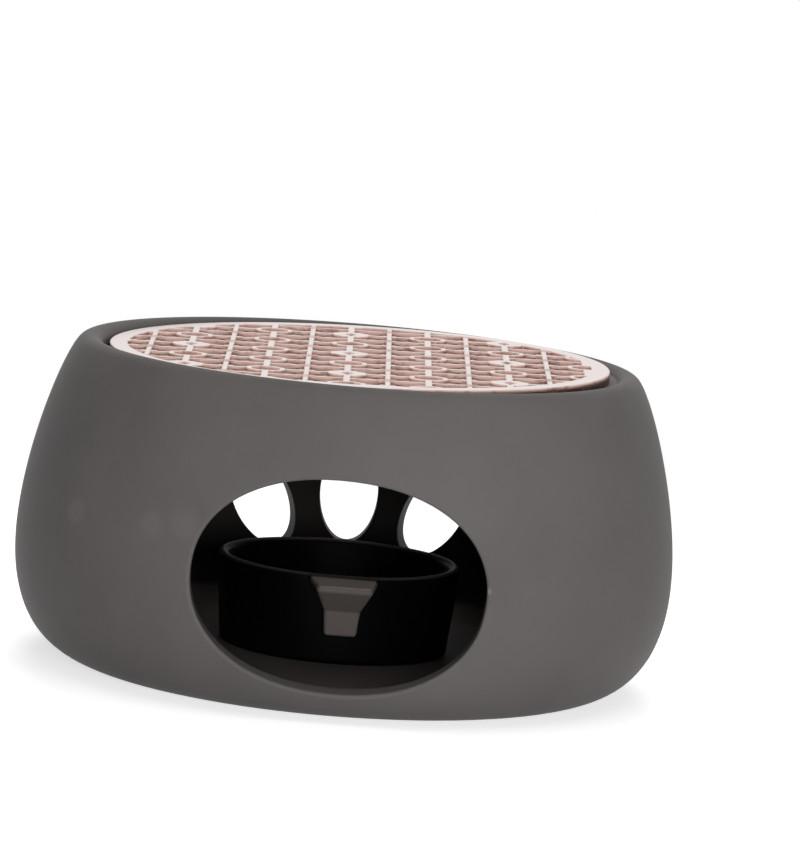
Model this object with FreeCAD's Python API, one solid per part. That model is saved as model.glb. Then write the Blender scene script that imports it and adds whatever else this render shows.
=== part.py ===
"""Teapot warmer: a barrel-shaped ceramic stove with a pierced metal plate on top.

Three separate pieces make it up. The stoneware body has a floor, a large oval
window in front, three leaning oval vents behind and a rounded lip. Inside the
lip a ledge carries the plate. The plate is a cast disc with a plain rim, and
its field is a lattice of octagon stars in two levels. A candle cup with a
finger lug stands loose on the floor, behind the window.

Millimetres. Z is up, the window looks along -Y, and the origin is on the
standing surface, on the body's axis.
"""
import FreeCAD, Part
import math
import os
from FreeCAD import Placement, Rotation, Vector

# Body, outside: a flat foot, the widest ring and the lip.
foot_radius = 46.7
foot_rise_angle = 10.4
belly_radius = 60.0
belly_height = 21.4
foot_reach = 10.1
belly_drop_reach = 10.1
belly_rise_reach = 14.0
lip_reach = 4.4
lip_crown_radius = 2.6
lip_crown_height = 55.7
lip_join_angle = 40.0

# Body, inside: even wall, flat floor and the cove that joins them.
wall = 4.5
floor_thickness = 4.0
floor_cove = 12.0
floor_cove_reach = 7.5
floor_cove_rise = 8.7

# The ledge that carries the plate. It was formed slightly out of level, so
# the plate lies with its right-hand side a little higher.
ledge_width = 4.0
ledge_thickness = 3.4
ledge_under_angle = 20.0
seat_depth = 2.2
seat_lean = 1.2
seat_lean_direction = 15.0

# Oval window in front.
window_width = 51.3
window_height = 37.3
window_center_x = -0.5
window_center_height = 24.1
window_power = 2.15
window_turn = 1.9
window_points = 24

# Three oval vents behind, the outer two leaning outwards.
vent_width = 11.2
vent_height = 19.0
vent_middle_height = 24.5
vent_outer_height = 22.4
vent_spacing_angle = 17.3
vent_outer_lean = 30.0

# Fettled round on the edges of the window and the vents.
opening_edge_round = 0.5

# Pierced plate: a plain rim round a field that is cast in two levels.
plate_radius = 45.5
plate_gap = 1.05
plate_thickness = 2.0
plate_rim_width = 3.3
relief_depth = 0.5

# Lattice of the plate's field: square tiles, each with an octagon motif.
tile_pitch = 14.4
tile_shift_x = 12.4
tile_shift_y = 1.5
grid_bar = 1.0
spoke_bar = 1.3
motif_radius = 3.4
motif_band = 1.0
web = 0.8
wide_hole = 1.75
narrow_hole = 1.0
narrow_hole_length = 1.9
twin_bar = 0.8

# Candle cup, standing loose on the floor.
cup_radius = 22.3
cup_foot_radius = 20.8
cup_height = 16.4
cup_wall = 2.0
cup_floor = 2.2
cup_edge_round = 1.2
cup_x = -0.8
cup_y = 2.0
cup_turn = 3.0

# Finger lug of the cup: a tapered wedge, flush with the rim.
lug_length = 8.6
lug_root_width = 14.4
lug_front_width = 10.4
lug_top_fall = 0.9
lug_knee_drop = 5.9
lug_knee_stand = 2.6
lug_knee_width = 6.6
lug_depth = 10.6
lug_bottom_stand = 1.6
lug_bottom_width = 5.8
lug_round = 0.7

# How far a cutting tool runs past the surface that it cuts.
overrun = 20.0


def arc_between(center, radius, start_angle, end_angle):
    """Circular edge in the XZ plane, between two angles in degrees."""
    middle_angle = (start_angle + end_angle) / 2
    ends = [
        center + Vector(math.cos(math.radians(a)), 0, math.sin(math.radians(a))) * radius
        for a in (start_angle, middle_angle, end_angle)
    ]
    return Part.Arc(*ends).toShape()


def bezier(start, start_handle, end_handle, end):
    """Cubic curve from its two ends and their two handles."""
    curve = Part.BezierCurve()
    curve.setPoles([start, start_handle, end_handle, end])
    return curve.toShape()


def revolve(edges):
    """Solid of revolution about Z from a closed section in the XZ plane."""
    return Part.Face(Part.Wire(edges)).revolve(Vector(0, 0, 0), Vector(0, 0, 1), 360)


def polygon(points):
    """Closed wire through the points."""
    return Part.makePolygon(points + points[:1])


def direction(angle):
    """Unit vector in the XZ plane at an angle in degrees from +X."""
    return Vector(math.cos(math.radians(angle)), 0, math.sin(math.radians(angle)))


def make_seat_placement(height):
    """Leaning frame of the ledge: its height is measured on the body's axis."""
    lean_axis = Rotation(Vector(0, 0, 1), seat_lean_direction).multVec(Vector(0, -1, 0))
    return Placement(Vector(0, 0, height), Rotation(lean_axis, seat_lean))


# Body

recess_radius = plate_radius + plate_gap
crown_center = Vector(recess_radius + lip_crown_radius, 0, lip_crown_height)
seat_height = lip_crown_height + lip_crown_radius - seat_depth


def wall_line(depth):
    """Belly point, lip point and the curve between them, at a depth inside the outer face."""
    belly = Vector(belly_radius - depth, 0, belly_height)
    lip = crown_center + direction(lip_join_angle) * (lip_crown_radius - depth)
    lip_tangent = direction(lip_join_angle + 90)
    upper = bezier(belly, belly + Vector(0, 0, belly_rise_reach), lip - lip_tangent * lip_reach, lip)
    return belly, lip, upper


def make_shell():
    """Floor, wall and rounded lip in one turn of the section."""
    belly, lip, outer_upper = wall_line(0)
    foot = Vector(foot_radius, 0, 0)
    outer_lower = bezier(
        foot,
        foot + direction(foot_rise_angle) * foot_reach,
        belly - Vector(0, 0, belly_drop_reach),
        belly,
    )
    crown = arc_between(crown_center, lip_crown_radius, lip_join_angle, 180)
    inner_belly, inner_lip, inner_upper = wall_line(wall)
    floor_edge = Vector(inner_belly.x - floor_cove, 0, floor_thickness)
    inner_lower = bezier(
        floor_edge,
        floor_edge + Vector(floor_cove_reach, 0, 0),
        inner_belly - Vector(0, 0, floor_cove_rise),
        inner_belly,
    )
    lip_inside = crown_center - Vector(lip_crown_radius, 0, 0)
    floor_middle = Vector(0, 0, floor_thickness)
    return revolve([
        outer_lower,
        outer_upper,
        crown,
        Part.makeLine(lip_inside, inner_lip),
        inner_upper,
        inner_lower,
        Part.makeLine(floor_edge, floor_middle),
        Part.makeLine(floor_middle, Vector(0, 0, 0)),
        Part.makeLine(Vector(0, 0, 0), foot),
    ])


def make_ledge():
    """Ring that grows out of the wall under the lip, its top cut to the leaning seat."""
    bore_radius = plate_radius - ledge_width
    root_radius = crown_center.x + wall / 2
    under_height = seat_height - ledge_thickness
    root_drop = (root_radius - bore_radius) * math.tan(math.radians(ledge_under_angle))
    blank_top = seat_height + ledge_thickness
    ring = revolve(polygon([
        Vector(bore_radius, 0, under_height),
        Vector(root_radius, 0, under_height - root_drop),
        Vector(crown_center.x, 0, lip_crown_height),
        Vector(crown_center.x, 0, blank_top),
        Vector(bore_radius, 0, blank_top),
    ]).Edges)
    above_seat = Part.makeBox(4 * belly_radius, 4 * belly_radius, overrun)
    above_seat.translate(Vector(-2 * belly_radius, -2 * belly_radius, 0))
    above_seat.Placement = make_seat_placement(seat_height).multiply(above_seat.Placement)
    return ring.cut(above_seat)


def make_window():
    """Prism of the oval window, a little squarer than an ellipse."""
    points = []
    for i in range(window_points):
        angle = 2 * math.pi * i / window_points
        across = math.copysign(abs(math.cos(angle)) ** (2 / window_power), math.cos(angle))
        up = math.copysign(abs(math.sin(angle)) ** (2 / window_power), math.sin(angle))
        points.append(Vector(across * window_width / 2, 0, up * window_height / 2))
    outline = Part.BSplineCurve()
    outline.interpolate(Points=points, PeriodicFlag=True)
    prism = Part.Face(Part.Wire(outline.toShape())).extrude(Vector(0, -belly_radius - overrun, 0))
    prism.rotate(Vector(0, 0, 0), Vector(0, 1, 0), window_turn)
    prism.translate(Vector(window_center_x, 0, window_center_height))
    return prism


def make_vent(height, around, lean):
    """Oval prism through the rear wall, leaning and set round the body by its angles."""
    oval = Part.Ellipse(Vector(0, 0, 0), vent_height / 2, vent_width / 2).toShape()
    prism = Part.Face(Part.Wire(oval)).extrude(Vector(0, 0, belly_radius + overrun))
    upright = Rotation(Vector(0, 1, 0), Vector(1, 0, 0), Vector(0, 0, 1))
    outward = Rotation(Vector(1, 0, 0), -90)
    leaned = Rotation(Vector(0, 1, 0), lean)
    placed = Rotation(Vector(0, 0, 1), -around)
    prism.Placement = Placement(Vector(0, 0, height), placed * leaned * outward * upright)
    return prism


def make_warmer_body():
    """Shell and ledge as one piece of stoneware, with the window and vents cut out."""
    body = make_shell().fuse(make_ledge())
    vents = [make_vent(vent_middle_height, 0, 0)]
    for side in (-1, 1):
        vents.append(make_vent(vent_outer_height, side * vent_spacing_angle, side * vent_outer_lean))
    body = body.cut([make_window()] + vents).removeSplitter()
    opening_edges = [
        e for e in body.Edges
        if isinstance(e.Curve, Part.BSplineCurve) and (e.BoundBox.YMax < 0 or e.BoundBox.YMin > 0)
    ]
    return body.makeFillet(opening_edge_round, opening_edges)


# Plate

def inset(corners, distance):
    """Convex outline moved inwards by a distance on every side."""
    count = len(corners)
    lines = []
    for i in range(count):
        along = (corners[(i + 1) % count] - corners[i]).normalize()
        inward = Vector(-along.y, along.x, 0)
        lines.append((corners[i] + inward * distance, along))
    moved = []
    for i in range(count):
        p, d = lines[i - 1]
        q, e = lines[i]
        reach = ((q.x - p.x) * e.y - (q.y - p.y) * e.x) / (d.x * e.y - d.y * e.x)
        moved.append(p + d * reach)
    return moved


def octagon(inner_radius):
    """Corners of an octagon with flat sides to the left, right, front and back."""
    corner_radius = inner_radius / math.cos(math.pi / 8)
    return [
        Vector(corner_radius * math.cos(a), corner_radius * math.sin(a), 0)
        for a in (math.pi / 8 + i * math.pi / 4 for i in range(8))
    ]


def diamond(half_width, half_length, center_x=0.0):
    """Corners of a diamond-shaped hole."""
    return [
        Vector(center_x + half_width, 0, 0),
        Vector(center_x, half_length, 0),
        Vector(center_x - half_width, 0, 0),
        Vector(center_x, -half_length, 0),
    ]


def quarter_shapes():
    """Pocket and holes between two spokes of a tile, in the first quarter."""
    near = spoke_bar / 2
    far = (tile_pitch - grid_bar) / 2
    side = motif_radius * math.tan(math.pi / 8)
    slope = motif_radius * math.sqrt(0.5)
    pocket = [
        Vector(motif_radius, near, 0),
        Vector(far, near, 0),
        Vector(far, far, 0),
        Vector(near, far, 0),
        Vector(near, motif_radius, 0),
        Vector(side, motif_radius, 0),
        Vector(motif_radius, side, 0),
    ]
    wing = Vector((slope + far) / 2 + web, (near + far) / 2 - web, 0)
    mirrored_wing = Vector(wing.y, wing.x, 0)
    kite = [Vector(slope, slope, 0), wing, Vector(far, far, 0), mirrored_wing]
    beside_spoke = [Vector(motif_radius, near, 0), Vector(far, near, 0), wing, Vector(motif_radius, side, 0)]
    mirrored_beside = [Vector(p.y, p.x, 0) for p in reversed(beside_spoke)]
    return pocket, [kite, beside_spoke, mirrored_beside]


def tile_shapes(column, row):
    """Outlines of one tile: the pockets of the upper level, then the holes of the lower one."""
    quarter_pocket, quarter_cells = quarter_shapes()
    pockets = []
    holes = []
    for turn in range(4):
        spin = Rotation(Vector(0, 0, 1), 90 * turn)
        pockets.append([spin.multVec(p) for p in quarter_pocket])
        for cell in quarter_cells:
            holes.append([spin.multVec(p) for p in inset(cell, web / 2)])
    middle = octagon(motif_radius - motif_band)
    kind = (column % 2, row % 2)
    if kind == (0, 0):
        pockets.append(middle)
        holes.append(diamond(wide_hole, wide_hole))
    elif kind == (1, 0):
        slot = diamond(narrow_hole, narrow_hole_length)
        pockets.append(slot)
        holes.append(slot)
    elif kind == (0, 1):
        pockets.append(middle)
    else:
        pockets.append(middle)
        for side in (-1, 1):
            holes.append(diamond(narrow_hole / 2, wide_hole, side * (twin_bar + narrow_hole) / 2))
    center = Vector(column * tile_pitch + tile_shift_x, row * tile_pitch + tile_shift_y, 0)
    return [[p + center for p in shape] for shape in pockets], [[p + center for p in shape] for shape in holes]


def clip_to_field(outlines, field_radius):
    """Outlines as wires, those that the rim crosses cut off at its inner edge."""
    field = Part.Face(Part.Wire(Part.makeCircle(field_radius)))
    wires = []
    for corners in outlines:
        reach = [p.Length for p in corners]
        if max(reach) < field_radius:
            wires.append(polygon(corners))
        elif min(reach) < field_radius:
            for piece in Part.Face(polygon(corners)).common(field).Faces:
                if piece.Area > web * web:
                    wires.append(piece.OuterWire)
    return wires


def make_top_plate():
    """Lower level pierced by the holes, and upper level of rim, grid, spokes and motifs."""
    field_radius = plate_radius - plate_rim_width
    reach = math.ceil(plate_radius / tile_pitch) + 1
    pockets = []
    holes = []
    for column in range(-reach, reach + 1):
        for row in range(-reach, reach + 1):
            tile_pockets, tile_holes = tile_shapes(column, row)
            pockets += tile_pockets
            holes += tile_holes
    edge = Part.Wire(Part.makeCircle(plate_radius))
    lower = Part.makeFace([edge] + clip_to_field(holes, field_radius - web), "Part::FaceMakerBullseye")
    upper = Part.makeFace([edge] + clip_to_field(pockets, field_radius), "Part::FaceMakerBullseye")
    lower_thickness = plate_thickness - relief_depth
    lower_level = lower.extrude(Vector(0, 0, lower_thickness))
    upper_level = upper.extrude(Vector(0, 0, relief_depth))
    upper_level.translate(Vector(0, 0, lower_thickness))
    plate = lower_level.fuse(upper_level).removeSplitter()
    plate.Placement = make_seat_placement(seat_height)
    return plate


# Candle cup

def make_cup_shell():
    """Turned cup: flat foot, slightly flared wall and rounded rim."""
    rim_round = cup_wall / 2
    rim_center = Vector(cup_radius - rim_round, 0, cup_height - rim_round)
    foot = Vector(cup_foot_radius, 0, 0)
    outside = rim_center + Vector(rim_round, 0, 0)
    inside = rim_center - Vector(rim_round, 0, 0)
    floor_corner = Vector(cup_foot_radius - cup_wall, 0, cup_floor)
    cup = revolve([
        Part.makeLine(Vector(0, 0, 0), foot),
        Part.makeLine(foot, outside),
        arc_between(rim_center, rim_round, 0, 180),
        Part.makeLine(inside, floor_corner),
        Part.makeLine(floor_corner, Vector(0, 0, cup_floor)),
        Part.makeLine(Vector(0, 0, cup_floor), Vector(0, 0, 0)),
    ])
    corners = [e for e in cup.Edges if e.Closed and e.BoundBox.ZMax <= cup_floor]
    return cup.makeFillet(cup_edge_round, corners)


def make_lug():
    """Wedge that reaches out from the rim and slopes back down to the wall."""
    middle_radius = cup_radius - cup_wall / 2
    root_y = math.sqrt(middle_radius ** 2 - (lug_root_width / 2) ** 2)
    flare = (cup_radius - cup_foot_radius) / cup_height
    levels = [
        (0, lug_top_fall, lug_root_width, lug_front_width, lug_length),
        (lug_knee_drop, lug_knee_drop, lug_knee_width, lug_knee_width, lug_knee_stand),
        (lug_depth, lug_depth, lug_bottom_width, lug_bottom_width, lug_bottom_stand),
    ]
    sections = []
    for root_drop, front_drop, root_width, front_width, stand in levels:
        front_y = cup_radius + stand
        sections.append(polygon([
            Vector(-root_width / 2, -root_y, cup_height - root_drop),
            Vector(root_width / 2, -root_y, cup_height - root_drop),
            Vector(front_width / 2, -front_y, cup_height - front_drop),
            Vector(-front_width / 2, -front_y, cup_height - front_drop),
        ]))
    wedge = Part.makeLoft(sections, True, True)
    wedge = wedge.makeFillet(lug_round, [e for e in wedge.Edges if e.BoundBox.YMin < -middle_radius])
    height = cup_height + overrun
    core = Part.makeCone(middle_radius - flare * cup_height, middle_radius + flare * overrun, height)
    return wedge.cut(core)


def make_candle_cup():
    """Cup and lug as one piece, set on the body's floor."""
    cup = make_cup_shell().fuse(make_lug()).removeSplitter()
    cup.Placement = Placement(Vector(cup_x, cup_y, floor_thickness), Rotation(Vector(0, 0, 1), cup_turn))
    return cup


os.makedirs("parts", exist_ok=True)
for name, shape in {
    "warmer_body": make_warmer_body(),
    "top_plate": make_top_plate(),
    "candle_cup": make_candle_cup(),
}.items():
    shape.exportStep(f"parts/{name}.step")
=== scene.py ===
import math

import bpy
from mathutils import Matrix, Vector


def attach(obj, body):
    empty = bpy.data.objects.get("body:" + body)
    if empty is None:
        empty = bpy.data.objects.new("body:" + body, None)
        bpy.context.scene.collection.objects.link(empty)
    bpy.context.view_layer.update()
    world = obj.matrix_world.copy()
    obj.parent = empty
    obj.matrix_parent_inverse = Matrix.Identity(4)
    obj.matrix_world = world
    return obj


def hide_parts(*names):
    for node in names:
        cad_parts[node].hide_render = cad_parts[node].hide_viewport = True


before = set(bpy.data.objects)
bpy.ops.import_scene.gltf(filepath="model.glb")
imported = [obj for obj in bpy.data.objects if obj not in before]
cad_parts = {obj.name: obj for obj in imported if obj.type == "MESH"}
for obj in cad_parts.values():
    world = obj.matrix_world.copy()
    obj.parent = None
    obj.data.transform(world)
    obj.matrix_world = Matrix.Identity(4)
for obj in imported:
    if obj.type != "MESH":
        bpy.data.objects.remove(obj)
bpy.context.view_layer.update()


# Stoneware body
#
# One slip-cast and turned piece of dark, unglazed stoneware. It was fired matt,
# so it has a fine even grain, a soft sheen at the edges and a few faint marks
# from handling. Its inner walls, the cut sides of its vents and its inner floor
# are painted darker than its outside, as painted shade.

# Sizes of grain and mottle are in millimetres, places and depths in metres.
body_color = "#605c5b"
body_dark_color = "#5a5756"
# Painted shade on the inner walls and on the cut sides of the vents.
inside_painted_shade_color = "#232120"
# Painted shade on the floor inside the body, lighter than on the inner walls.
inner_floor_shade_color = "#544f4c"
mark_color = "#9a9591"
body_grain = 0.35
body_grain_depth = 0.00004
body_mottle = 22.0
body_mottle_depth = 0.0002
clay_roughness = 0.6
clay_ior = 1.5
clay_gloss = 0.15

# Where the surface counts as inner wall, as a vent's cut side and as floor; these get painted shade.
# A facing is 1 where a surface looks out from the axis and -1 where it looks in.
inner_wall_facing = (-0.1, -0.5)
inner_wall_top = 0.0535
vent_facing = (0.70, 0.55)
vent_front = 0.025
vent_bottom = 0.012
vent_top = 0.042
vent_blend = 0.002
vent_front_blend = 0.005
inner_floor_radius = 0.050
inner_floor_top = 0.020
inner_floor_top_blend = 0.004
edge_blend = 0.001

# Each mark has a place, a radius and a strength: the chip at the window's edge,
# the nick in the sill, then the faint smudges on the left.
marks = (
    ((0.0252, -0.0545, 0.0254), 0.0010, 0.60),
    ((0.0007, -0.0563, 0.0060), 0.0006, 0.45),
    ((-0.0475, -0.0355, 0.0307), 0.0035, 0.10),
    ((-0.0338, -0.0486, 0.0313), 0.0035, 0.07),
    ((-0.0277, -0.0521, 0.0324), 0.0040, 0.07),
)


def linear(hex_color):
    """sRGB hex colour as a linear RGBA value."""
    channels = [int(hex_color[i:i + 2], 16) / 255 for i in (1, 3, 5)]
    return [c / 12.92 if c <= 0.04045 else ((c + 0.055) / 1.055) ** 2.4 for c in channels] + [1.0]


def per_size(millimetres):
    """Texture scale at which one cell of a pattern has this size."""
    return 1000.0 / millimetres


def new_material(name):
    """Empty node material."""
    material = bpy.data.materials.new(name)
    material.use_nodes = True
    material.node_tree.nodes.clear()
    return material


def add(owner, kind, settings=None, **inputs):
    """Adds a node to a material or the world, and sets or links its inputs by name or number."""
    node = owner.node_tree.nodes.new("ShaderNode" + kind)
    for name, value in (settings or {}).items():
        setattr(node, name, value)
    for name, value in inputs.items():
        found = [s for s in node.inputs if s.name.replace(" ", "_") == name and s.enabled]
        socket = found[0] if found else node.inputs[int(name[1:])]
        if isinstance(value, bpy.types.NodeSocket):
            owner.node_tree.links.new(value, socket)
        else:
            socket.default_value = value
    return node


def dress(piece, material):
    """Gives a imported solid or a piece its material."""
    piece.data.materials.clear()
    piece.data.materials.append(material)


def make_stoneware():
    """Matt fired clay: fine grain and faint clouds of colour, with painted shade inside."""
    material = new_material("matt_stoneware")
    place = add(material, "TexCoord").outputs["Object"]
    apart = add(material, "SeparateXYZ", Vector=place)
    behind = apart.outputs["Y"]
    height = apart.outputs["Z"]
    normal = add(material, "NewGeometry").outputs["True Normal"]
    around = add(material, "VectorMath", {"operation": "MULTIPLY"},
                 _0=place, _1=(1, 1, 0)).outputs["Vector"]
    radius = add(material, "VectorMath", {"operation": "LENGTH"}, _0=around).outputs["Value"]
    outward = add(material, "VectorMath", {"operation": "NORMALIZE"}, _0=around).outputs["Vector"]
    facing = add(material, "VectorMath", {"operation": "DOT_PRODUCT"}, _0=normal, _1=outward).outputs["Value"]

    areas = []
    for limits in (
        (
            (facing, *inner_wall_facing),
            (height, inner_wall_top + edge_blend, inner_wall_top),
        ),
        (
            (behind, vent_front, vent_front + vent_front_blend),
            (height, vent_top + vent_blend, vent_top),
            (facing, *vent_facing),
            (height, vent_bottom, vent_bottom + vent_blend),
        ),
        (
            (radius, inner_floor_radius + edge_blend / 2, inner_floor_radius - edge_blend / 2),
            (height, edge_blend, 2 * edge_blend),
            (height, inner_floor_top, inner_floor_top - inner_floor_top_blend),
        ),
    ):
        area = 1.0
        for measure, start, full in limits:
            within = add(material, "MapRange", Value=measure, From_Min=start, From_Max=full).outputs["Result"]
            area = add(material, "Math", {"operation": "MULTIPLY"}, _0=area, _1=within).outputs["Value"]
        areas.append(area)
    inner_wall, vent_side, on_floor = areas
    # Where painted shade darkens the inner walls and the vents' cut sides.
    inside = add(material, "Math", {"operation": "MAXIMUM"}, _0=inner_wall, _1=vent_side).outputs["Value"]

    mottle = add(material, "TexNoise", Vector=place, Scale=per_size(body_mottle), Detail=4.0, Roughness=0.6)
    grain = add(material, "TexNoise", Vector=place, Scale=per_size(body_grain), Detail=2.0, Roughness=0.5)
    cloud = add(material, "MapRange", Value=mottle.outputs["Fac"], From_Min=0.35, From_Max=0.65)
    color = add(material, "Mix", {"data_type": "RGBA"}, Factor=cloud.outputs["Result"],
                A=linear(body_dark_color), B=linear(body_color)).outputs["Result"]
    # Painted shade on the inner walls, vent sides and inner floor, laid over the marks.
    layers = [(inside, inside_painted_shade_color), (on_floor, inner_floor_shade_color)]
    for mark_place, mark_size, mark_share in reversed(marks):
        away = add(material, "VectorMath", {"operation": "DISTANCE"},
                   _0=place, _1=mark_place).outputs["Value"]
        marked = add(material, "MapRange", {"interpolation_type": "SMOOTHSTEP"}, Value=away,
                     From_Min=mark_size, From_Max=mark_size / 3, To_Max=mark_share).outputs["Result"]
        layers.insert(0, (marked, mark_color))
    for share, layer_color in layers:
        color = add(material, "Mix", {"data_type": "RGBA"}, Factor=share, A=color,
                    B=linear(layer_color)).outputs["Result"]

    wave = add(material, "Bump", Strength=0.5, Distance=body_mottle_depth, Height=mottle.outputs["Fac"])
    bump = add(material, "Bump", Strength=0.35, Distance=body_grain_depth, Height=grain.outputs["Fac"],
               Normal=wave.outputs["Normal"])
    shader = add(material, "BsdfPrincipled", Base_Color=color, Roughness=clay_roughness, IOR=clay_ior,
                 Specular_IOR_Level=clay_gloss, Normal=bump.outputs["Normal"])
    add(material, "OutputMaterial", Surface=shader.outputs["BSDF"])
    return material


dress(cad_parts["warmer_body"], make_stoneware())


# Top plate
#
# A cast disc of alloy, plated in pale rose gold. Its field is a lattice of
# octagon motifs in two levels, with edges that the casting and the plating
# left round. It lies loose on the ledge inside the lip, slightly askew.

# The plate's sizes are in millimetres, and its lean is in degrees.
plate_radius = 45.5
plate_thickness = 2.0
plate_rim_width = 3.3
relief_depth = 0.5
seat_height = 56.1
seat_lean = 1.2
seat_lean_direction = 15.0
tile_pitch = 14.4
tile_shift_x = 12.4
tile_shift_y = 1.5
grid_bar = 1.0
spoke_bar = 1.3
motif_radius = 3.4
motif_band = 1.0
web = 0.8
wide_hole = 1.75
narrow_hole = 1.0
narrow_hole_length = 1.9
twin_bar = 0.8
lower_round = 0.15
upper_round = 0.22
round_steps = 2
disc_corners = 360
field_corners = 240


def moved_in(corners, distance):
    """Convex outline moved inwards by a distance on every side."""
    count = len(corners)
    lines = []
    for i in range(count):
        along = (corners[(i + 1) % count] - corners[i]).normalized()
        lines.append((corners[i] + Vector((-along.y, along.x)) * distance, along))
    moved = []
    for i in range(count):
        p, d = lines[i - 1]
        q, e = lines[i]
        moved.append(p + d * ((q.x - p.x) * e.y - (q.y - p.y) * e.x) / (d.x * e.y - d.y * e.x))
    return moved


def circle(radius, count):
    """Corners of a fine polygon that stands for a circle."""
    return [Vector((radius * math.cos(a), radius * math.sin(a)))
            for a in (2 * math.pi * i / count for i in range(count))]


def octagon(inner_radius):
    """Corners of an octagon with flat sides to the left, right, front and back."""
    corner_radius = inner_radius / math.cos(math.pi / 8)
    return [Vector((corner_radius * math.cos(a), corner_radius * math.sin(a)))
            for a in (math.pi / 8 + i * math.pi / 4 for i in range(8))]


def diamond(half_width, half_length, center_x=0.0):
    """Corners of a diamond-shaped hole."""
    return [Vector((center_x + half_width, 0)), Vector((center_x, half_length)),
            Vector((center_x - half_width, 0)), Vector((center_x, -half_length))]


def quarter_shapes():
    """Pocket and holes between two spokes of a tile, in the first quarter."""
    near = spoke_bar / 2
    far = (tile_pitch - grid_bar) / 2
    side = motif_radius * math.tan(math.pi / 8)
    slope = motif_radius * math.sqrt(0.5)
    pocket = [Vector((motif_radius, near)), Vector((far, near)), Vector((far, far)), Vector((near, far)),
              Vector((near, motif_radius)), Vector((side, motif_radius)), Vector((motif_radius, side))]
    wing = Vector(((slope + far) / 2 + web, (near + far) / 2 - web))
    kite = [Vector((slope, slope)), wing, Vector((far, far)), wing.yx]
    beside_spoke = [Vector((motif_radius, near)), Vector((far, near)), wing, Vector((motif_radius, side))]
    return pocket, [kite, beside_spoke, [p.yx for p in reversed(beside_spoke)]]


def tile_shapes(column, row):
    """Outlines of one tile: the pockets of the upper level, then the holes of the lower one."""
    quarter_pocket, quarter_cells = quarter_shapes()
    pockets = []
    holes = []
    for turn in range(4):
        spin = Matrix.Rotation(math.pi / 2 * turn, 2)
        pockets.append([spin @ p for p in quarter_pocket])
        for cell in quarter_cells:
            holes.append([spin @ p for p in moved_in(cell, web / 2)])
    middle = octagon(motif_radius - motif_band)
    kind = (column % 2, row % 2)
    if kind == (0, 0):
        pockets.append(middle)
        holes.append(diamond(wide_hole, wide_hole))
    elif kind == (1, 0):
        slot = diamond(narrow_hole, narrow_hole_length)
        pockets.append(slot)
        holes.append(slot)
    elif kind == (0, 1):
        pockets.append(middle)
    else:
        pockets.append(middle)
        for side in (-1, 1):
            holes.append(diamond(narrow_hole / 2, wide_hole, side * (twin_bar + narrow_hole) / 2))
    center = Vector((column * tile_pitch + tile_shift_x, row * tile_pitch + tile_shift_y))
    return [[[p + center for p in shape] for shape in shapes] for shapes in (pockets, holes)]


def clipped(corners, radius):
    """Outline cut off where it crosses a circle, or None where too little of it is left."""
    edge = circle(radius, field_corners)
    for i, a in enumerate(edge):
        along = edge[(i + 1) % len(edge)] - a
        kept = []
        for j, q in enumerate(corners):
            p = corners[j - 1]
            p_in = along.cross(p - a) >= 0
            q_in = along.cross(q - a) >= 0
            if p_in != q_in:
                share = along.cross(p - a) / along.cross(p - q)
                kept.append(p + (q - p) * share)
            if q_in:
                kept.append(q)
        corners = kept
        if len(corners) < 3:
            return None
    area = sum(corners[j - 1].cross(q) for j, q in enumerate(corners)) / 2
    return corners if area > web * web else None


def level_mesh(name, outlines, bottom, top, rounding):
    """Flat pierced level with rounded edges: the first outline is the disc, the others are holes."""
    curve = bpy.data.curves.new(name, "CURVE")
    curve.dimensions = "2D"
    curve.fill_mode = "BOTH"
    for i, outline in enumerate(outlines):
        spline = curve.splines.new("POLY")
        ordered = outline if i == 0 else outline[::-1]
        spline.points.add(len(ordered) - 1)
        for point, place in zip(spline.points, ordered):
            point.co = (place.x, place.y, 0, 1)
        spline.use_cyclic_u = True
    curve.extrude = (top - bottom) / 2 - rounding
    curve.bevel_depth = rounding
    curve.bevel_resolution = round_steps
    curve.offset = -rounding
    carrier = bpy.data.objects.new(name, curve)
    mesh = bpy.data.meshes.new_from_object(carrier)
    bpy.data.objects.remove(carrier)
    mesh.transform(Matrix.Translation((0, 0, (bottom + top) / 2)))
    return mesh


def make_top_plate():
    """Meshes of the lower and the upper level. The upper one reaches into the lower one by its rounds."""
    field_radius = plate_radius - plate_rim_width
    reach = math.ceil(plate_radius / tile_pitch) + 1
    pockets = []
    holes = []
    for column in range(-reach, reach + 1):
        for row in range(-reach, reach + 1):
            tile_pockets, tile_holes = tile_shapes(column, row)
            pockets += [clipped(shape, field_radius) for shape in tile_pockets]
            holes += [clipped(shape, field_radius - web) for shape in tile_holes]
    disc = circle(plate_radius, disc_corners)
    middle = plate_thickness - relief_depth
    lower = level_mesh("plate_lower", [disc] + [s for s in holes if s], 0, middle, lower_round)
    upper = level_mesh("plate_upper", [disc] + [s for s in pockets if s],
                       middle - 2 * upper_round, plate_thickness, upper_round)
    return lower, upper


lean_direction = math.radians(seat_lean_direction)
lean_axis = Vector((math.sin(lean_direction), -math.cos(lean_direction), 0))
plate_place = (Matrix.Translation((0, 0, seat_height / 1000))
               @ Matrix.Rotation(math.radians(seat_lean), 4, lean_axis)
               @ Matrix.Scale(0.001, 4))

# Colours of the plating, with painted shade for the lower level, the sides, the
# hole walls and the dips, its roughness, and its cast texture. Sizes of the
# texture are in millimetres, and depths are in metres.
flat_color = "#dccbc6"
# Painted shade on the steep sides of the upper level.
flank_shade_color = "#d0b1a7"
# Painted shade on the top of the lower level, seen through the pockets.
pocket_floor_shade_color = "#d6b8ae"
# Painted shade on the walls of the holes in the lower level.
hole_wall_shade_color = "#5c3e36"
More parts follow.
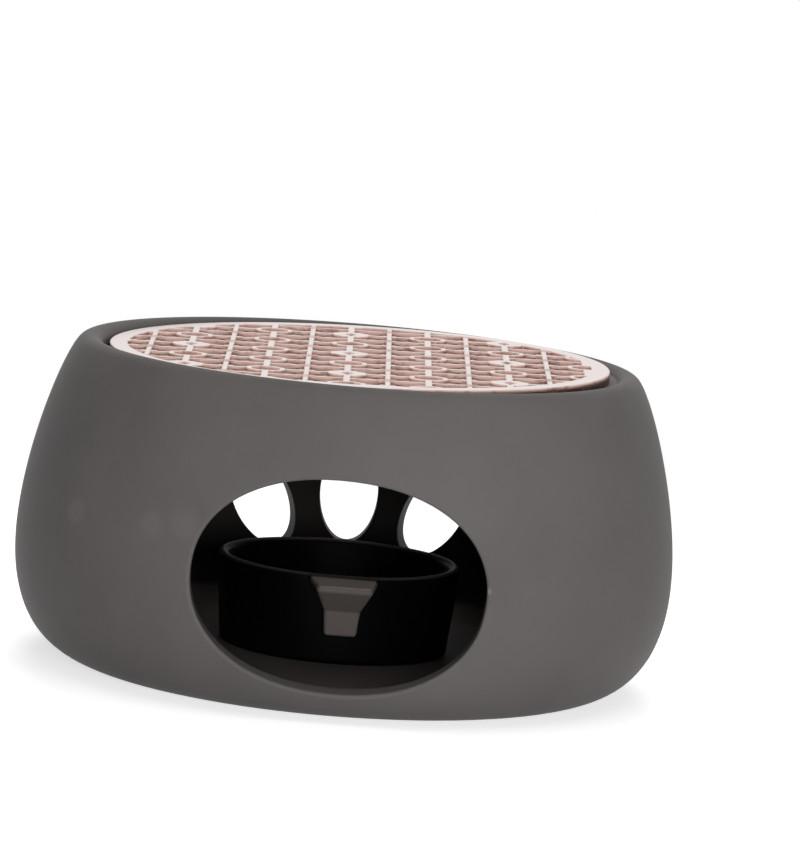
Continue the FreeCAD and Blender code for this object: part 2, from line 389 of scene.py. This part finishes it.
# Deeper painted shade in random patches on the sides.
shade_patch_color = "#8d6b62"
lapped_roughness = 0.22
cast_roughness = 0.32
side_roughness = 0.38
cast_grain = 0.8
cast_grain_depth = 0.00004
rim_grain_strength = 0.02
field_grain_strength = 0.25
cast_patch = 3.0
shade_patch_share = 0.75
dimple_reach = 2.2
dimple_depth = 0.0002
flat_facing = 0.98
side_facing = 0.85
field_blend = 0.0003
field_radius_metres = (plate_radius - plate_rim_width) / 1000
pitch = tile_pitch / 1000
crossing = (tile_shift_x / 1000 + pitch / 2, tile_shift_y / 1000 + pitch / 2, 0)
half_cell = (0.5, 0.5, 0)


def make_rose_gold(name, top_color, side_shade_color, top_roughness):
    """Rose-gold plating: satin and pale on top, rougher on its sides, with painted shade on its sides and
    where the bars dip, deeper in random patches.
    """
    material = new_material(name)
    place = add(material, "TexCoord").outputs["Object"]
    normal = add(material, "NewGeometry").outputs["True Normal"]
    upward = add(material, "SeparateXYZ", Vector=normal).outputs["Z"]
    around = add(material, "VectorMath", {"operation": "MULTIPLY"},
                 _0=place, _1=(1, 1, 0)).outputs["Vector"]
    radius = add(material, "VectorMath", {"operation": "LENGTH"}, _0=around).outputs["Value"]
    in_field = add(material, "MapRange", Value=radius, From_Min=field_radius_metres + field_blend,
                   From_Max=field_radius_metres).outputs["Result"]

    # The bars dip a little where they cross, once in each cell of the grid, and there they take the side
    # colours as painted shade.
    from_crossing = add(material, "VectorMath", {"operation": "SUBTRACT"},
                        _0=around, _1=crossing).outputs["Vector"]
    cell = add(material, "VectorMath", {"operation": "DIVIDE"},
               _0=from_crossing, _1=(pitch, pitch, 1)).outputs["Vector"]
    cell = add(material, "VectorMath", {"operation": "ADD"}, _0=cell, _1=half_cell).outputs["Vector"]
    cell = add(material, "VectorMath", {"operation": "FRACTION"}, _0=cell).outputs["Vector"]
    cell = add(material, "VectorMath", {"operation": "SUBTRACT"}, _0=cell, _1=half_cell).outputs["Vector"]
    off = add(material, "VectorMath", {"operation": "LENGTH"}, _0=cell).outputs["Value"]
    dimple = add(material, "MapRange", {"interpolation_type": "SMOOTHSTEP"}, Value=off,
                 From_Min=dimple_reach / tile_pitch,
                 From_Max=dimple_reach / tile_pitch / 2).outputs["Result"]
    dimple = add(material, "Math", {"operation": "MULTIPLY"}, _0=dimple, _1=in_field).outputs["Value"]
    steep = add(material, "MapRange", Value=upward, From_Min=flat_facing,
                From_Max=side_facing).outputs["Result"]
    # Rougher as cast, and painted shade, on steep sides and at the dips.
    cast_side_and_shade = add(material, "Math", {"operation": "MAXIMUM"}, _0=dimple, _1=steep).outputs["Value"]

    patch = add(material, "TexNoise", Vector=place, Scale=per_size(cast_patch), Detail=3.0, Roughness=0.7)
    # Random patches where the painted shade on the sides is deeper.
    shade_patch = add(material, "MapRange", Value=patch.outputs["Fac"], From_Min=0.5, From_Max=0.68,
                To_Max=shade_patch_share).outputs["Result"]
    # Painted shade for the sides and dips, deeper in random patches.
    side = add(material, "Mix", {"data_type": "RGBA"}, Factor=shade_patch, A=linear(side_shade_color),
               B=linear(shade_patch_color)).outputs["Result"]
    color = add(material, "Mix", {"data_type": "RGBA"}, Factor=cast_side_and_shade, A=linear(top_color),
                B=side).outputs["Result"]
    rough = add(material, "MapRange", Value=cast_side_and_shade, To_Min=top_roughness, To_Max=side_roughness)
    cast = add(material, "TexNoise", Vector=place, Scale=per_size(cast_grain), Detail=3.0, Roughness=0.6)
    strength = add(material, "MapRange", Value=in_field, To_Min=rim_grain_strength,
                   To_Max=field_grain_strength).outputs["Result"]
    bump = add(material, "Bump", Strength=strength, Distance=cast_grain_depth, Height=cast.outputs["Fac"])
    dent = add(material, "Bump", {"invert": True}, Strength=0.8, Distance=dimple_depth, Height=dimple,
               Normal=bump.outputs["Normal"])
    shader = add(material, "BsdfPrincipled", Base_Color=color, Metallic=1.0,
                 Roughness=rough.outputs["Result"], Normal=dent.outputs["Normal"])
    add(material, "OutputMaterial", Surface=shader.outputs["BSDF"])
    return material


scene = bpy.context.scene
# The lower level gets painted shade on its top and on its hole walls.
cast_finish_with_painted_shade = make_rose_gold("cast_rose_gold", pocket_floor_shade_color, hole_wall_shade_color, cast_roughness)
lapped_finish_with_painted_shade = make_rose_gold("lapped_rose_gold", flat_color, flank_shade_color, lapped_roughness)
lower_mesh, upper_mesh = make_top_plate()
for name, mesh, finish in (
    ("plate_lower_level", lower_mesh, cast_finish_with_painted_shade),
    ("plate_upper_level", upper_mesh, lapped_finish_with_painted_shade),
):
    mesh.transform(plate_place)
    level = bpy.data.objects.new(name, mesh)
    scene.collection.objects.link(level)
    dress(level, finish)
    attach(level, "root")
    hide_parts("top_plate")


# Candle cup
#
# A small slip-cast cup with a wedge lug for the finger, dipped in black glaze
# that came out satin. Along the top of the rim the glaze is thinner and carries a
# painted highlight; the lug is painted lighter, its top lightest, as painted light.
# The cup stands loose on the floor of the body.

# The size of the pits is in millimetres, and places and depths are in metres.
glaze_color = "#040404"
# Lighter band along the top of the rim: thinner glaze and a painted highlight.
rim_glaze_and_highlight_color = "#393432"
# Painted light on the lug, which stands out toward the front, and lighter still on its top.
lug_painted_light_color = "#5a5451"
lug_top_painted_light_color = "#8a827e"
cup_top = 0.0204
rim_band = 0.0005
cup_front = -0.0205
lug_blend = 0.0012
# How far up a face of the lug must look to get the lighter painted light of its top.
painted_lit_top_facing = (0.6, 0.95)
pit_size = 1.2
pit_depth = 0.00005
glaze_roughness = 0.45
glaze_ior = 1.5
glaze_gloss = 0.15


def make_glaze():
    """Thin black satin glaze with fine pits; thinner along the rim with a painted highlight there, and
    painted light on the lug.
    """
    material = new_material("satin_black_glaze")
    place = add(material, "TexCoord").outputs["Object"]
    apart = add(material, "SeparateXYZ", Vector=place)
    # The band along the rim's top where the lighter colour is painted as a highlight.
    rim = add(material, "MapRange", {"interpolation_type": "SMOOTHSTEP"}, Value=apart.outputs["Z"],
              From_Min=cup_top - rim_band, From_Max=cup_top).outputs["Result"]
    lug = add(material, "MapRange", {"interpolation_type": "SMOOTHSTEP"}, Value=apart.outputs["Y"],
              From_Min=cup_front, From_Max=cup_front - lug_blend).outputs["Result"]
    normal = add(material, "NewGeometry").outputs["True Normal"]
    upward = add(material, "SeparateXYZ", Vector=normal).outputs["Z"]
    # Upward faces of the lug, where the lighter painted light goes.
    painted_lit_top = add(material, "MapRange", Value=upward, From_Min=painted_lit_top_facing[0],
               From_Max=painted_lit_top_facing[1]).outputs["Result"]
    wall_color = add(material, "Mix", {"data_type": "RGBA"}, Factor=rim, A=linear(glaze_color),
                     B=linear(rim_glaze_and_highlight_color)).outputs["Result"]
    lug_face = add(material, "Mix", {"data_type": "RGBA"}, Factor=painted_lit_top, A=linear(lug_painted_light_color),
                   B=linear(lug_top_painted_light_color)).outputs["Result"]
    color = add(material, "Mix", {"data_type": "RGBA"}, Factor=lug, A=wall_color,
                B=lug_face).outputs["Result"]
    pits = add(material, "TexNoise", Vector=place, Scale=per_size(pit_size), Detail=3.0)
    bump = add(material, "Bump", Strength=0.25, Distance=pit_depth, Height=pits.outputs["Fac"])
    shader = add(material, "BsdfPrincipled", Base_Color=color, Roughness=glaze_roughness, IOR=glaze_ior,
                 Specular_IOR_Level=glaze_gloss, Normal=bump.outputs["Normal"])
    add(material, "OutputMaterial", Surface=shader.outputs["BSDF"])
    return material


dress(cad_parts["candle_cup"], make_glaze())


# Floor, lights and camera
#
# A plain pale floor and soft light all round, with three soft lamps: above, behind,
# and low in front. The camera stands at the viewing angle of the photograph.

white = linear("#ffffff")
studio_light = 0.14
floor_half_side = 3.0
floor_drop = 0.0001
floor_paint_color = "#e8e8e8"
floor_glow = 0.66
shadow_reach = 0.08
fade_end = 0.30
lamp_target = Vector((0, 0, 0.03))

scene.view_settings.view_transform = "Standard"


def shown_white(owner, lit, backdrop):
    """Shader that camera, glossy and transmission rays see as the backdrop, and others as it is lit."""
    path = add(owner, "LightPath")
    seen = path.outputs["Is Camera Ray"]
    for kind in ("Is Glossy Ray", "Is Transmission Ray"):
        seen = add(owner, "Math", {"operation": "MAXIMUM"}, _0=seen, _1=path.outputs[kind]).outputs["Value"]
    return add(owner, "MixShader", _0=seen, _1=lit.outputs[0], _2=backdrop.outputs[0])


world = bpy.data.worlds.new("studio")
scene.world = world
world.use_nodes = True
world.node_tree.nodes.clear()
world_light = add(world, "Background", Color=white, Strength=studio_light)
world_white = add(world, "Background", Color=white, Strength=1.0)
add(world, "OutputWorld", Surface=shown_white(world, world_light, world_white).outputs[0])

# The floor glows near the object so that it shows white, and keeps the shadow.
# Further out it is plain white. From below it is clear. It lies a tenth of a
# millimetre low, so that it never coincides with the underside of the body.
floor_paint = new_material("pale_floor")
floor_diffuse = add(floor_paint, "BsdfDiffuse", Color=linear(floor_paint_color))
floor_lift = add(floor_paint, "Emission", Color=white, Strength=floor_glow)
floor_near = add(floor_paint, "AddShader", _0=floor_diffuse.outputs[0], _1=floor_lift.outputs[0])
floor_far = add(floor_paint, "Emission", Color=white, Strength=1.0)
floor_place = add(floor_paint, "TexCoord").outputs["Object"]
floor_distance = add(floor_paint, "VectorMath", {"operation": "LENGTH"}, _0=floor_place).outputs["Value"]
floor_fade = add(floor_paint, "MapRange", {"interpolation_type": "SMOOTHSTEP"}, Value=floor_distance,
                 From_Min=shadow_reach, From_Max=fade_end).outputs["Result"]
floor_seen = add(floor_paint, "MixShader", _0=floor_fade, _1=floor_near.outputs[0], _2=floor_far.outputs[0])
floor_from_above = shown_white(floor_paint, floor_diffuse, floor_seen)
from_below = add(floor_paint, "NewGeometry").outputs["Backfacing"]
clear = add(floor_paint, "BsdfTransparent")
floor_face = add(floor_paint, "MixShader", _0=from_below, _1=floor_from_above.outputs[0], _2=clear.outputs[0])
add(floor_paint, "OutputMaterial", Surface=floor_face.outputs[0])

floor_mesh = bpy.data.meshes.new("floor")
floor_mesh.from_pydata([(-1, -1, 0), (1, -1, 0), (1, 1, 0), (-1, 1, 0)], [], [(0, 1, 2, 3)])
floor_mesh.transform(Matrix.Translation((0, 0, -floor_drop)) @ Matrix.Scale(floor_half_side, 4))
floor = bpy.data.objects.new("floor", floor_mesh)
scene.collection.objects.link(floor)
floor.data.materials.append(floor_paint)

# Each lamp is a soft disc with a place, a width and a power. It lights the object, but
# neither the camera nor a reflection shows it.
for name, place, size, power in (
    ("lamp_above", (0.1, -0.2, 0.9), 0.9, 2.5),
    ("lamp_behind", (0, 0.8, 0.9), 0.8, 7.0),
    ("lamp_front", (0.09, -0.5, 0.075), 0.14, 1.6),
):
    lamp = bpy.data.lights.new(name, "AREA")
    lamp.shape = "DISK"
    lamp.size = size
    lamp.energy = power
    lamp_object = bpy.data.objects.new(name, lamp)
    lamp_object.location = place
    lamp_object.rotation_mode = "QUATERNION"
    lamp_object.rotation_quaternion = (lamp_target - Vector(place)).to_track_quat("-Z", "Y")
    lamp_object.visible_camera = False
    lamp_object.visible_glossy = False
    scene.collection.objects.link(lamp_object)

# The camera's distances are in metres from the axis and the floor, and its turns in degrees.
photo_height = 841
focal_pixels = 5052.5
sensor = 36.0
camera_distance = 0.9126
camera_height = 0.1655
camera_yaw = 0.514
camera_pitch = 7.418
camera_roll = 4.76

camera_data = bpy.data.cameras.new("camera")
camera_data.sensor_width = sensor
camera_data.lens = focal_pixels / photo_height * sensor
camera = bpy.data.objects.new("camera", camera_data)
camera.matrix_world = (Matrix.Translation((0, -camera_distance, camera_height))
                       @ Matrix.Rotation(math.radians(-camera_yaw), 4, "Z")
                       @ Matrix.Rotation(math.radians(90 - camera_pitch), 4, "X")
                       @ Matrix.Rotation(math.radians(camera_roll), 4, "Z"))
scene.collection.objects.link(camera)
scene.camera = camera
